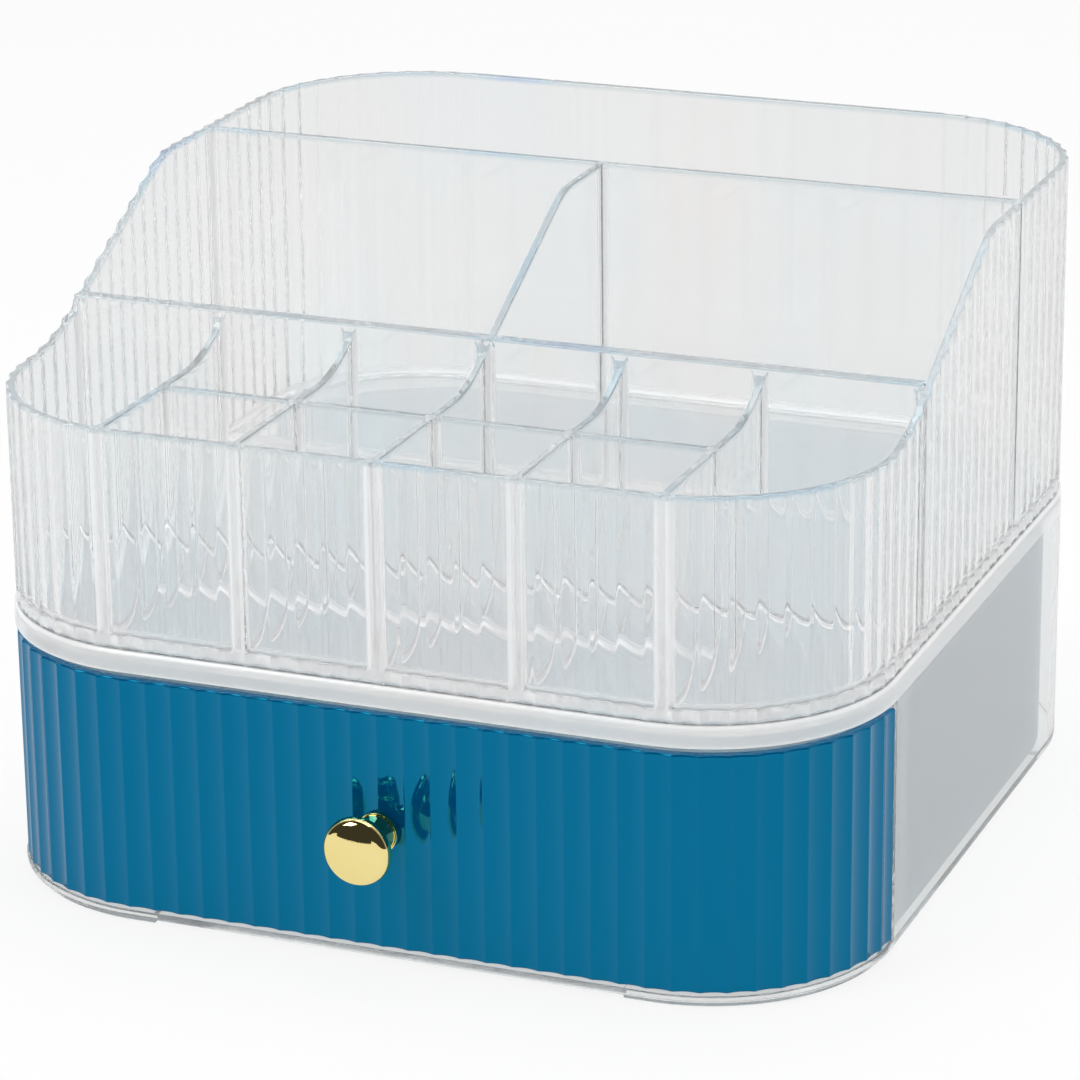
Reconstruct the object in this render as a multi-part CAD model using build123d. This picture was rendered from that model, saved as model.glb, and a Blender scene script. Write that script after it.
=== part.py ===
from build123d import *
import os
from math import cos, pi, radians, sin, sqrt, tan

# Makeup organizer: a clear ribbed tray with thirteen compartments stands on a clear cabinet
# that holds one blue drawer with a round metal knob. Millimetres, +Z up. X runs across the
# front, the front faces -Y. The origin is on the ground, under the middle of the whole box.

# Cabinet, the clear lower case
cabinet_width = 229.5
cabinet_depth = 231.5
cabinet_height = 72.3
corner_radius = 46.7
cabinet_wall = 2.2
top_thickness = 3.2
lip_height = 5.8
lip_wall = 2.2
base_thickness = 2.4
edge_round = 1.5
side_wall_setback = 1.0
foot_height = 1.2
foot_width = 5.0
foot_inset = 0.3
foot_reach = 6.0

# Upright hollow flutes round the tray and the drawer front, with sharp ridges between them
flute_pitch = 6.7
tray_flute_depth = 0.7
drawer_flute_depth = 0.6

# Tray, one clear moulding
tray_ledge = 0.5
tray_wall = 1.7
tray_floor_thickness = 2.0
tray_floor_gap = 0.8
front_wall_height = 55.6
rear_wall_height = 89.9
slope_angle = 27.25
slope_height_at_mid = 64.1
mid_divider_step = 1.7
wall_foot_radius = 56.0
wall_shoulder_radius = 24.0
divider_foot_radius = 30.0
fillet_share = 0.9

# Tray compartments
cell_pitch = 36.0
front_divider_count = 5
front_row_depth = 33.8
second_row_depth = 31.2
middle_row_depth = 77.3
divider_thickness = 2.0
mid_divider_thickness = 4.0

# Drawer
drawer_rear_gap = 2.3
running_gap = 1.1
slide_gap = 0.3
front_inset = 0.3
front_gap_above = 1.5
front_gap_below = 0.4
box_wall = 2.0
box_floor_thickness = 2.0
box_drop = 1.5
catch_gap = 0.8
catch_clearance = 0.3

# Reach of the moving pieces
tray_lift = 60.0

# Knob and its screw
knob_reach = 16.1
knob_head_diameter = 17.4
knob_head_thickness = 6.4
knob_face_dome = 1.2
knob_rim_round = 2.2
knob_flare = 1.2
knob_neck_diameter = 7.0
knob_base_diameter = 10.5
knob_base_thickness = 1.6
knob_seat_margin = 0.25
screw_diameter = 4.0
screw_hole_clearance = 0.2
screw_length_in_knob = 7.0
screw_head_diameter = 8.0
screw_head_height = 2.6
screw_head_round = 1.3

# Places worked out from the sizes above
front_y = -(cabinet_depth + knob_reach) / 2 + knob_reach
rear_y = front_y + cabinet_depth
half_width = cabinet_width / 2

base_bottom_z = foot_height
base_top_z = base_bottom_z + base_thickness
plate_bottom_z = cabinet_height - top_thickness
lip_bottom_z = cabinet_height - lip_height

box_half_width = half_width - max(cabinet_wall, lip_wall) - running_gap
box_front_inset = cabinet_wall + running_gap
box_bottom_z = base_top_z + slide_gap
front_bottom_z = base_top_z + front_gap_below
front_top_z = lip_bottom_z - front_gap_above
box_top_z = front_top_z - box_drop
catch_top_z = plate_bottom_z - catch_gap
box_corner_radius = corner_radius - box_front_inset
box_rear_y = rear_y - cabinet_wall - drawer_rear_gap
box_inner_front_y = front_y + box_front_inset + box_wall
knob_z = (front_bottom_z + front_top_z) / 2
knob_seat_y = front_y + front_inset

# The drawer opens until the raised back of its box meets the lip inside the front corners
lip_inner_radius = corner_radius - lip_wall
catch_offset = box_half_width - (half_width - corner_radius)
catch_stop_y = front_y + corner_radius - sqrt(lip_inner_radius**2 - catch_offset**2)
drawer_travel = box_rear_y - box_corner_radius - catch_stop_y - catch_clearance

tray_z = cabinet_height
tray_inner_inset = tray_ledge + tray_flute_depth + tray_wall
tray_inner_half = half_width - tray_inner_inset
tray_front_inner_y = front_y + tray_inner_inset
tray_rear_inner_y = rear_y - tray_inner_inset
floor_bottom_z = tray_z + tray_floor_gap
floor_top_z = floor_bottom_z + tray_floor_thickness
cross_front_y = tray_front_inner_y + front_row_depth
cross_rear_y = cross_front_y + divider_thickness
mid_front_y = cross_rear_y + second_row_depth
mid_rear_y = mid_front_y + mid_divider_thickness
rear_divider_front_y = mid_rear_y + middle_row_depth
rear_divider_rear_y = rear_divider_front_y + divider_thickness
low_z = tray_z + front_wall_height
high_z = tray_z + rear_wall_height
mid_top_z = tray_z + slope_height_at_mid + mid_divider_step
slope = tan(radians(slope_angle))
divider_xs = [(i - (front_divider_count - 1) / 2) * cell_pitch for i in range(front_divider_count)]


def slope_y(z):
    """Y at which the straight slope of the tray's top line reaches the height z."""
    return mid_rear_y + (z - tray_z - slope_height_at_mid) / slope


def slope_z(y):
    """Height of the straight slope of the tray's top line at y."""
    return tray_z + slope_height_at_mid + (y - mid_rear_y) * slope


def outline(inset, z=0.0):
    """The cabinet's rounded plan, drawn in by inset, as a face at height z."""
    y0 = front_y + inset
    y1 = rear_y - inset
    face = RectangleRounded(cabinet_width - 2 * inset, y1 - y0, corner_radius - inset)
    return Pos(0, (y0 + y1) / 2, z) * face


def slab(inset, z0, z1):
    """A plate with the cabinet's rounded plan, between two heights."""
    return extrude(outline(inset, z0), z1 - z0)


def block(x0, x1, y0, y1, z0, z1):
    """A box given by its lowest and highest corners."""
    middle = Pos((x0 + x1) / 2, (y0 + y1) / 2, (z0 + z1) / 2)
    return middle * Box(x1 - x0, y1 - y0, z1 - z0)


def across(edge, x0, x1):
    """A prism from x0 to x1 whose upright section, in Y and Z, is bounded by the edge."""
    face = make_face(Plane.YZ * edge)
    return Pos(x0, 0, 0) * extrude(face, x1 - x0, dir=(1, 0, 0))


def flute_line(a, b, depth):
    """Hollow flutes between two plan points, cut in to the left of the way from a to b."""
    length = (b - a).length
    count = max(1, round(length / flute_pitch))
    along = (b - a) * (1 / count)
    hollow = Vector(-along.Y, along.X).normalized() * depth
    flutes = []
    for i in range(count):
        start = a + along * i
        flutes.append(ThreePointArc(start, start + along * 0.5 + hollow, start + along))
    return flutes


def flute_corner(centre, radius, start_angle, depth):
    """Hollow flutes round a quarter circle, counter-clockwise, with their ridges on the radius."""
    count = max(1, round(radius * pi / 2 / flute_pitch))
    step = 90 / count
    flutes = []
    for i in range(count):
        turn = start_angle + i * step
        start = on_circle(centre, radius, turn)
        hollow = on_circle(centre, radius - depth, turn + step / 2)
        end = on_circle(centre, radius, turn + step)
        flutes.append(ThreePointArc(start, hollow, end))
    return flutes


def quarter_centres():
    """Centres of the four plan corners, and the angle at which each quarter circle starts."""
    x = half_width - corner_radius
    y0 = front_y + corner_radius
    y1 = rear_y - corner_radius
    return [(Vector(-x, y0), 180), (Vector(x, y0), 270), (Vector(x, y1), 0), (Vector(-x, y1), 90)]


def on_circle(centre, radius, angle):
    """The plan point at an angle on a circle."""
    return centre + Vector(cos(radians(angle)), sin(radians(angle))) * radius


def tray_outline():
    """The tray's fluted plan: flutes on the front, the sides and the corners, a plain rear."""
    radius = corner_radius - tray_ledge
    corners = quarter_centres()
    rear_run = 2
    edges = []
    for i, (centre, angle) in enumerate(corners):
        edges += flute_corner(centre, radius, angle, tray_flute_depth)
        end = on_circle(centre, radius, angle + 90)
        next_centre, next_angle = corners[(i + 1) % 4]
        start = on_circle(next_centre, radius, next_angle)
        if i == rear_run:
            edges.append(Line(end, start))
        else:
            edges += flute_line(end, start, tray_flute_depth)
    return make_face(edges)


def wall_top_edge():
    """The outer wall's top line: level at the rear, down the slope, level in front."""
    points = [(rear_y, high_z), (slope_y(high_z), high_z), (slope_y(low_z), low_z), (front_y, low_z)]
    return FilletPolyline(*points, radius=(wall_shoulder_radius, wall_foot_radius))


def divider_top_edge():
    """A front divider's top line: down the slope from the mid divider, then level to the front."""
    foot_y = slope_y(low_z)
    if foot_y >= mid_front_y:
        return Polyline((mid_front_y, low_z), (tray_front_inner_y, low_z))
    slope_length = (mid_front_y - foot_y) / cos(radians(slope_angle))
    longest_radius = fillet_share * slope_length / tan(radians(slope_angle / 2))
    points = [(mid_front_y, slope_z(mid_front_y)), (foot_y, low_z), (tray_front_inner_y, low_z)]
    return FilletPolyline(*points, radius=min(divider_foot_radius, longest_radius))


def make_tray_wall():
    bottom = tray_z
    ring = extrude(tray_outline(), rear_wall_height)
    ring = Pos(0, 0, bottom) * ring
    ring -= slab(tray_inner_inset, bottom, high_z)
    closing = Polyline((front_y, low_z), (front_y, bottom), (rear_y, bottom), (rear_y, high_z))
    return ring & across(wall_top_edge() + closing, -half_width, half_width)


def make_tray_floor():
    return slab(tray_inner_inset, floor_bottom_z, floor_top_z)


def make_centre_divider():
    half = divider_thickness / 2
    shoulder = (slope_y(high_z), high_z)
    points = [(rear_divider_front_y, high_z), shoulder, (mid_rear_y, slope_z(mid_rear_y))]
    top = FilletPolyline(*points, radius=wall_shoulder_radius)
    closing = Polyline(
        (mid_rear_y, slope_z(mid_rear_y)),
        (mid_rear_y, floor_top_z),
        (rear_divider_front_y, floor_top_z),
        (rear_divider_front_y, high_z),
    )
    return across(top + closing, -half, half)


def make_front_divider(x):
    half = divider_thickness / 2
    closing = Polyline(
        (tray_front_inner_y, low_z),
        (tray_front_inner_y, floor_top_z),
        (mid_front_y, floor_top_z),
        (mid_front_y, max(slope_z(mid_front_y), low_z)),
    )
    divider = across(divider_top_edge() + closing, x - half, x + half)
    return divider & slab(tray_inner_inset, floor_top_z, mid_top_z)


def make_tray():
    pieces = {"tray_wall": make_tray_wall(), "tray_floor": make_tray_floor()}
    x = tray_inner_half
    pieces["mid_divider"] = block(-x, x, mid_front_y, mid_rear_y, floor_top_z, mid_top_z)
    pieces["rear_divider"] = block(
        -x, x, rear_divider_front_y, rear_divider_rear_y, floor_top_z, high_z
    )
    pieces["centre_divider"] = make_centre_divider()
    for i, x in enumerate(divider_xs):
        pieces[f"front_divider_{i + 1}"] = make_front_divider(x)
    half = divider_thickness / 2
    for i in range(front_divider_count - 1):
        left = divider_xs[i] + half
        right = divider_xs[i + 1] - half
        pieces[f"cross_divider_{i + 1}"] = block(
            left, right, cross_front_y, cross_rear_y, floor_top_z, low_z
        )
    return pieces


def make_top_plate():
    """The cabinet's top, rounded along its upper edge, with a lip that hangs down in front."""
    plate = slab(0, plate_bottom_z, cabinet_height)
    rim = plate.edges().group_by(Axis.Z)[-1]
    plate = fillet(rim, edge_round)
    lip = slab(0, lip_bottom_z, plate_bottom_z) - slab(lip_wall, lip_bottom_z, plate_bottom_z)
    lip_end_y = front_y + corner_radius + side_wall_setback
    lip &= block(-half_width, half_width, front_y, lip_end_y, lip_bottom_z, plate_bottom_z)
    return plate + lip


def make_side_wall(side):
    """A flat side wall, from just behind the front corner to the rear corner."""
    outer = side * half_width
    inner = side * (half_width - cabinet_wall)
    y0 = front_y + corner_radius + side_wall_setback
    y1 = rear_y - corner_radius
    return block(min(outer, inner), max(outer, inner), y0, y1, base_top_z, plate_bottom_z)


def make_rear_wall():
    """The rear wall with its two rounded corners."""
    wall = slab(0, base_top_z, plate_bottom_z) - slab(cabinet_wall, base_top_z, plate_bottom_z)
    y0 = rear_y - corner_radius
    return wall & block(-half_width, half_width, y0, rear_y, base_top_z, plate_bottom_z)


def make_base_plate():
    plate = slab(0, base_bottom_z, base_top_z)
    rim = plate.edges().group_by(Axis.Z)[0]
    return fillet(rim, edge_round)


def make_foot(side_x, side_y):
    """A low rim under one corner: the corner's arc with a short straight run at each end."""
    ring = slab(foot_inset + edge_round, 0, foot_height)
    ring -= slab(foot_inset + edge_round + foot_width, 0, foot_height)
    x_end = half_width - corner_radius - foot_reach
    x0, x1 = sorted((side_x * x_end, side_x * half_width))
    corner_y = rear_y if side_y > 0 else front_y
    y0, y1 = sorted((corner_y, corner_y - side_y * (corner_radius + foot_reach)))
    return ring & block(x0, x1, y0, y1, 0, foot_height)


def make_cabinet():
    pieces = {
        "top_plate": make_top_plate(),
        "left_side_wall": make_side_wall(-1),
        "right_side_wall": make_side_wall(1),
        "rear_wall": make_rear_wall(),
        "base_plate": make_base_plate(),
    }
    for name, side_x, side_y in (
        ("foot_front_left", -1, -1),
        ("foot_front_right", 1, -1),
        ("foot_rear_left", -1, 1),
        ("foot_rear_right", 1, 1),
    ):
        pieces[name] = make_foot(side_x, side_y)
    return pieces


def rod(diameter, y0, y1):
    """A round bar along Y on the knob's axis."""
    bar = Cylinder(diameter / 2, y1 - y0, rotation=(90, 0, 0))
    return Pos(0, (y0 + y1) / 2, knob_z) * bar


def screw_hole():
    """The clear hole for the knob's screw, through the blue front and the box behind it."""
    return rod(screw_diameter + screw_hole_clearance, front_y, box_inner_front_y + box_wall)


def drawer_front_outline():
    """Plan of the blue front: flutes outside, the drawer box's own plan inside."""
    radius = corner_radius - front_inset
    corners = quarter_centres()
    left, right = corners[0], corners[1]
    edges = flute_corner(left[0], radius, left[1], drawer_flute_depth)
    front_start = on_circle(left[0], radius, 270)
    front_end = on_circle(right[0], radius, 270)
    edges += flute_line(front_start, front_end, drawer_flute_depth)
    edges += flute_corner(right[0], radius, right[1], drawer_flute_depth)
    right_end = on_circle(right[0], radius, 360)
    left_end = on_circle(left[0], radius, 180)
    edges.append(Line(right_end, left_end))
    return make_face(edges)


def make_drawer_front():
    """The blue front, with a flat round seat for the knob among its flutes."""
    height = front_top_z - front_bottom_z
    front = Pos(0, 0, front_bottom_z) * extrude(drawer_front_outline(), height)
    front -= slab(box_front_inset, front_bottom_z, front_top_z)
    front += rod(knob_base_diameter - 2 * knob_seat_margin, knob_seat_y, front_y + box_front_inset)
    return front - screw_hole()


def box_outline(inset, z):
    """Plan of the drawer box, rounded like the cabinet round it, drawn in by inset."""
    y0 = front_y + box_front_inset + inset
    y1 = box_rear_y - inset
    face = RectangleRounded(2 * (box_half_width - inset), y1 - y0, box_corner_radius - inset)
    return Pos(0, (y0 + y1) / 2, z) * face


def make_drawer_box():
    """The drawer box as its floor and its four walls."""
    floor_top = box_bottom_z + box_floor_thickness
    floor = extrude(box_outline(0, box_bottom_z), box_floor_thickness)

    def walls(z_top):
        height = z_top - floor_top
        outer = extrude(box_outline(0, floor_top), height)
        return outer - extrude(box_outline(box_wall, floor_top), height)

    low_walls = walls(box_top_z)
    x = box_half_width
    inner_x = x - box_wall
    front_end = front_y + corner_radius
    rear_start = box_rear_y - box_corner_radius
    inner_front = low_walls & block(-x, x, front_y, front_end, floor_top, box_top_z)
    inner_front -= screw_hole()
    left = block(-x, -inner_x, front_end, rear_start, floor_top, box_top_z)
    right = block(inner_x, x, front_end, rear_start, floor_top, box_top_z)
    back = walls(catch_top_z) & block(-x, x, rear_start, box_rear_y, floor_top, catch_top_z)
    return {
        "drawer_floor": floor,
        "drawer_inner_front": inner_front,
        "drawer_left_side": left,
        "drawer_right_side": right,
        "drawer_back": back,
    }


def make_knob():
    """A turned mushroom knob: a base ring, a waisted neck and a slightly domed head."""
    length = knob_reach + front_inset
    head_r = knob_head_diameter / 2
    neck_r = knob_neck_diameter / 2
    base_r = knob_base_diameter / 2
    rim_y = length - knob_face_dome
    head_back = length - knob_head_thickness
    flat_r = head_r - knob_rim_round
    shaft = Polyline(
        (0, length),
        (0, 0),
        (base_r, 0),
        (base_r, knob_base_thickness),
        (neck_r, knob_base_thickness + knob_flare),
        (neck_r, head_back - knob_flare),
        (neck_r + knob_flare, head_back),
        (flat_r, head_back),
    )
    rim = ThreePointArc((flat_r, head_back), (head_r, (head_back + rim_y) / 2), (flat_r, rim_y))
    dome_radius = (flat_r**2 + knob_face_dome**2) / (2 * knob_face_dome)
    dome_middle = length - dome_radius + sqrt(dome_radius**2 - (flat_r / 2) ** 2)
    face = ThreePointArc((flat_r, rim_y), (flat_r / 2, dome_middle), (0, length))
    profile = make_face([*shaft.edges(), rim, face])
    knob = Rot(0, 0, 180) * revolve(profile, Axis.Y)
    knob = Pos(0, knob_seat_y, knob_z) * knob
    return knob - rod(screw_diameter, knob_seat_y - screw_length_in_knob, knob_seat_y)


def make_knob_screw():
    """Pan head screw that passes through the drawer's front walls into the knob."""
    shank = rod(screw_diameter, knob_seat_y - screw_length_in_knob, box_inner_front_y)
    head = rod(screw_head_diameter, box_inner_front_y, box_inner_front_y + screw_head_height)
    return shank + fillet(head.edges().group_by(Axis.Y)[-1], screw_head_round)


pieces = {**make_cabinet(), **make_tray(), "drawer_front": make_drawer_front(), **make_drawer_box()}
pieces["knob"] = make_knob()
pieces["knob_screw"] = make_knob_screw()

os.makedirs("parts", exist_ok=True)
for name, piece in pieces.items():
    solid = piece.solid()
    solid.label = name
    export_step(solid, f"parts/{name}.step")
print(len(pieces), "pieces written")
print(f"the drawer opens {drawer_travel:.1f} mm, the tray lifts {tray_lift:.0f} mm")
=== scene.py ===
import math

import bmesh
import bpy
from mathutils import Matrix, Vector, geometry


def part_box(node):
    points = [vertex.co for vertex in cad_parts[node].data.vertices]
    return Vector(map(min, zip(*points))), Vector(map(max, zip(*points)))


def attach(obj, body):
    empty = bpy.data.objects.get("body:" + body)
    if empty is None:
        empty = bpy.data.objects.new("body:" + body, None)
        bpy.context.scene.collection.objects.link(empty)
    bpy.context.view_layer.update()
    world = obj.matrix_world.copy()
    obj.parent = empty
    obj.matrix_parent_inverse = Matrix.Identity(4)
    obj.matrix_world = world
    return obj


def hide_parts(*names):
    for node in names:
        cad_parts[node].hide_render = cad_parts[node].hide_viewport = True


bl_info = {
    "name": "Makeup organizer",
    "version": (1, 0, 0),
    "blender": (4, 5, 0),
    "location": "3D View > Sidebar > Organizer",
    "description": "Builds a clear fluted makeup organizer with one blue drawer and its studio",
    "category": "Add Mesh",
}

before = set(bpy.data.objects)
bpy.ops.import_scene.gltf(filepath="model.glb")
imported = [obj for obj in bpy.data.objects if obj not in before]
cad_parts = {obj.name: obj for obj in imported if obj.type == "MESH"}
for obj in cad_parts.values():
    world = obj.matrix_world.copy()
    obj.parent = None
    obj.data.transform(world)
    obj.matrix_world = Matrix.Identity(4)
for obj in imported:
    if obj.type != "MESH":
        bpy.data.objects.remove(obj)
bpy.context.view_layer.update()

MM = 0.001
# Height over which the haze of an edge or fillet fades out. That haze paints light on them.
HAZE_FADE = 1.2 * MM
# Longest step between the stations of a straight run
RUN_STEP = 3.0 * MM

# Places read from the frame, in metres
BASE_LOW, BASE_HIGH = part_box("base_plate")
PLATE_LOW, PLATE_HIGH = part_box("top_plate")
SIDE_LOW, SIDE_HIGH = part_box("right_side_wall")
FLOOR_LOW, FLOOR_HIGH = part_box("tray_floor")
WALL_LOW, WALL_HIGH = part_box("tray_wall")
MID_LOW, MID_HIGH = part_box("mid_divider")
REAR_LOW, REAR_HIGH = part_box("rear_divider")
CROSS_LOW, CROSS_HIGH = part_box("cross_divider_1")
BOX_LOW, BOX_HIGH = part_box("drawer_floor")
BOX_FRONT_LOW, BOX_FRONT_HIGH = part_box("drawer_inner_front")
BOX_BACK_LOW, BOX_BACK_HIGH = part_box("drawer_back")
BLUE_LOW, BLUE_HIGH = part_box("drawer_front")
KNOB_LOW, KNOB_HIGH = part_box("knob")
SCREW_LOW, SCREW_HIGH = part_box("knob_screw")

HALF_WIDTH = BASE_HIGH.x
FRONT_Y = BASE_LOW.y
REAR_Y = BASE_HIGH.y
CORNER_RADIUS = REAR_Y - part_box("rear_wall")[0].y
TRAY_INSET = HALF_WIDTH - FLOOR_HIGH.x
LOW_Z = CROSS_HIGH.z
HIGH_Z = WALL_HIGH.z
KNOB_CENTRE = (KNOB_LOW + KNOB_HIGH) / 2

TRAY_NODES = ["tray_wall", "tray_floor", "mid_divider", "rear_divider", "centre_divider"]
TRAY_NODES += [f"front_divider_{i}" for i in range(1, 6)]
TRAY_NODES += [f"cross_divider_{i}" for i in range(1, 5)]
CABINET_NODES = ["top_plate", "left_side_wall", "right_side_wall", "rear_wall", "base_plate"]
CABINET_NODES += ["foot_front_left", "foot_front_right", "foot_rear_left", "foot_rear_right"]
BOX_NODES = ["drawer_inner_front", "drawer_floor", "drawer_left_side", "drawer_right_side", "drawer_back"]


def length(name, description, value):
    """A size in metres, given in millimetres."""
    return bpy.props.FloatProperty(
        name=name, description=description, default=value * MM, precision=5, unit="LENGTH"
    )


def colour(name, description, value):
    """A linear colour."""
    return bpy.props.FloatVectorProperty(
        name=name, description=description, default=value, size=3, min=0.0, max=1.0, subtype="COLOR"
    )


def amount(name, description, value):
    """A plain number."""
    return bpy.props.FloatProperty(name=name, description=description, default=value, precision=4)


def degrees(name, description, value):
    """An angle, given in degrees."""
    return bpy.props.FloatProperty(
        name=name, description=description, default=math.radians(value), subtype="ANGLE"
    )


class FluteSizes(bpy.types.PropertyGroup):
    """Upright hollow flutes of the tray and of the drawer's front."""

    pitch: length("Flute pitch", "Width of one flute", 6.7)
    tray_depth: length("Tray flute depth", "How deep a flute of the tray is", 0.7)
    drawer_depth: length("Drawer flute depth", "How deep a flute of the drawer's front is", 0.6)
    tray_ridge: length("Tray ridge", "Softness of the ridges between the tray's flutes", 0.5)
    drawer_ridge: length("Drawer ridge", "Softness of the ridges of the drawer's front", 0.15)
    steps: bpy.props.IntProperty(name="Steps", description="Faces across one flute", default=16, min=4)


class TraySizes(bpy.types.PropertyGroup):
    """Shape and finish of the clear tray."""

    slope_angle: degrees("Slope", "Slope of the side walls", 27.25)
    wall_foot: length("Wall foot radius", "Curve at the foot of the side walls' slope", 56.0)
    divider_foot: length("Divider foot radius", "Curve at the foot of the dividers' slope", 30.0)
    shoulder: length("Shoulder radius", "Curve at the top of the slope", 24.0)
    edge: length("Edge radius", "Rounding of the top edges", 0.45)
    bottom_edge: length("Bottom edge radius", "Rounding of the edge that stands on the cabinet", 0.4)
    junction: length("Junction radius", "Upright fillet where two walls meet", 1.5)
    floor_fillet: length("Floor fillet", "Fillet where the walls meet the floor", 1.2)
    lift: length("Air gap", "Air under the tray's edge", 0.05)
    clarity: amount("Clarity", "How clear the plastic is, 1 for no haze", 0.985)
    # Rim haze is painted light: it whitens the rounded top edges, which would otherwise render dark
    rim_painted_light: amount("Rim haze", "How milky the top edges are", 0.22)
    # Floor edge haze is partly the plastic's own and partly painted light that whitens the tray's bottom
    # band and the fillets along its floors
    floor_haze_and_light: amount("Floor edge haze", "How milky the edges along the floor are", 0.5)
    # Fillet haze is a painted highlight: white lines where two walls meet
    fillet_painted_highlight: amount("Fillet haze", "How milky the upright fillets are", 0.7)
    # Ridge haze is a painted highlight: a pale line on each ridge between the flutes
    ridge_painted_highlight: amount("Ridge haze", "How milky the ridges between the flutes are", 0.1)
    # Column haze is a painted highlight: white strips on the front wall beside each divider
    column_painted_highlight: amount("Column haze", "How milky the front wall is beside a divider", 0.55)
    column: length("Column width", "Width of that strip beyond each side of the divider", 1.0)
    tint: colour("Clear plastic", "Colour of the clear plastic", (0.993, 0.989, 0.998))


class CabinetSizes(bpy.types.PropertyGroup):
    """Shape and finish of the clear cabinet."""

    top_round: length("Top edge radius", "Rounding of the top plate's edge", 1.5)
    base_round: length("Base edge radius", "Rounding of the base plate's lower edge", 1.5)
    edge: length("Small edge radius", "Rounding of the small edges at the opening", 0.35)
    clarity: amount("Clarity", "How clear the plastic is, 1 for no haze", 0.965)
    # Lip haze is partly the plastic's own and partly painted light that whitens the top plate's side
    lip_haze_and_light: amount("Lip haze", "How milky the side of the top plate is", 0.5)
    # Rim haze is a painted highlight: a white line along the rounded edge of the top plate
    rim_painted_light: amount("Rim haze", "How milky the rounded edge of the top plate is", 0.85)
    # Jamb haze is painted light: a lighter strip on the side walls next to the opening
    jamb_painted_light: amount("Jamb haze", "How milky the side walls are next to the opening", 0.12)
    jamb: length("Jamb width", "Width of the milky strip next to the opening", 9.0)
    tint: colour("Clear plastic", "Colour of the clear plastic", (0.987, 0.989, 0.993))


class DrawerSizes(bpy.types.PropertyGroup):
    """Shape and finish of the drawer."""

    front_edge: length("Front edge radius", "Rounding of the blue front's edges", 0.5)
    top_gap: length("Top gap", "Extra air over the blue front", 0.45)
    box_edge: length("Box edge radius", "Rounding of the box's top edges", 0.6)
    box_fillet: length("Box fillet", "Fillet inside the box, along the floor", 1.5)
    box_bottom: length("Box bottom radius", "Rounding of the box's lower edge", 1.2)
    box_corner: length("Box rear corner radius", "Radius of the box's rear corners", 54.0)
    air: length("Air gap", "Air between the blue front and the box", 0.06)
    blue: colour("Blue", "Colour of the front", (0.0, 0.066, 0.19))
    box_tint: colour("Box plastic", "Colour of the drawer box", (0.46, 0.6, 0.66))


class KnobSizes(bpy.types.PropertyGroup):
    """Shape and finish of the knob and its screw."""

    dome: length("Face dome", "Height of the domed face", 1.2)
    head: length("Head thickness", "Thickness of the head", 6.4)
    rim: length("Rim round", "How far the rim bulges past the face", 2.2)
    neck: length("Neck diameter", "Diameter of the neck", 8.2)
    base: length("Base diameter", "Diameter of the base ring", 10.5)
    base_thickness: length("Base thickness", "Thickness of the base ring", 1.6)
    shank: length("Screw diameter", "Diameter of the screw's shank", 4.0)
    gold: colour("Gold", "Colour of the knob", (1.0, 0.84, 0.36))
    steel: colour("Steel", "Colour of the screw", (0.62, 0.62, 0.60))


class StageSizes(bpy.types.PropertyGroup):
    """Camera, lamps and floor."""

    azimuth: degrees("Azimuth", "Camera's turn round the object", 21.881)
    elevation: degrees("Elevation", "Camera's height angle", 19.54)
    roll: degrees("Roll", "Camera's roll", -0.638)
    place: bpy.props.FloatVectorProperty(
        name="Camera place", description="Camera's place", default=(0.4162, -1.0378, 0.4697), unit="LENGTH"
    )
    lens: bpy.props.FloatProperty(name="Lens", description="Focal length in mm", default=153.53)
    floor_gap: length("Floor gap", "Air under the feet", 0.05)
    ambient: amount("Ambient", "Strength of the room's light", 0.6)
    backdrop: amount("Backdrop", "How bright the backdrop looks through the plastic", 0.83)
    room: amount("Room", "How bright the room looks in gold and gloss", 0.04)


# Plan loops. A station is a plan point with the direction that points out of the loop there


def bearing(angle):
    """Plan direction at an angle in degrees."""
    return Vector((math.cos(math.radians(angle)), math.sin(math.radians(angle))))


def arc_stations(centre, radius, start, end, count):
    """Stations on an arc from one angle to another, without the last one. Angles in degrees."""
    outs = [bearing(start + (end - start) * i / count) for i in range(count)]
    return [(centre + out * radius, out) for out in outs]


def run_stations(start, end, out, count):
    """Stations on a straight run, without the last one."""
    return [(start.lerp(end, i / count), out) for i in range(count)]


def plan_loop(arcs, arc_step=0.8 * MM, run_step=RUN_STEP):
    """Stations round a loop of arcs (centre, radius, start, end) joined by straight runs."""
    fewest = 6
    touching = 0.05 * MM
    stations = []
    for i, (centre, radius, start, end) in enumerate(arcs):
        steps = math.ceil(math.radians(end - start) * radius / arc_step)
        count = max(fewest, steps) if end > start else 1
        stations += arc_stations(centre, radius, start, end, count)
        out = bearing(end)
        last = centre + out * radius
        after = arcs[(i + 1) % len(arcs)]
        target = after[0] + bearing(after[2]) * after[1]
        gap = (target - last).length
        if gap > touching:
            runs = run_stations(last, target, out, math.ceil(gap / run_step))
            stations += runs if end > start else runs[1:]
    return stations


def rectangle_arcs(x0, x1, y0, y1, radii):
    """Corner arcs of a rounded rectangle, from the front left counter-clockwise."""
    r0, r1, r2, r3 = radii
    return [
        (Vector((x0 + r0, y0 + r0)), r0, 180, 270),
        (Vector((x1 - r1, y0 + r1)), r1, 270, 360),
        (Vector((x1 - r2, y1 - r2)), r2, 0, 90),
        (Vector((x0 + r3, y1 - r3)), r3, 90, 180),
    ]


def flute_shares(steps):
    """Shares of a flute's width at which it has points, closer together near its ridges."""
    crowding = 0.75
    shares = [i / steps for i in range(steps)]
    return [share - crowding * math.sin(2 * math.pi * share) / (2 * math.pi) for share in shares]


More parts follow.
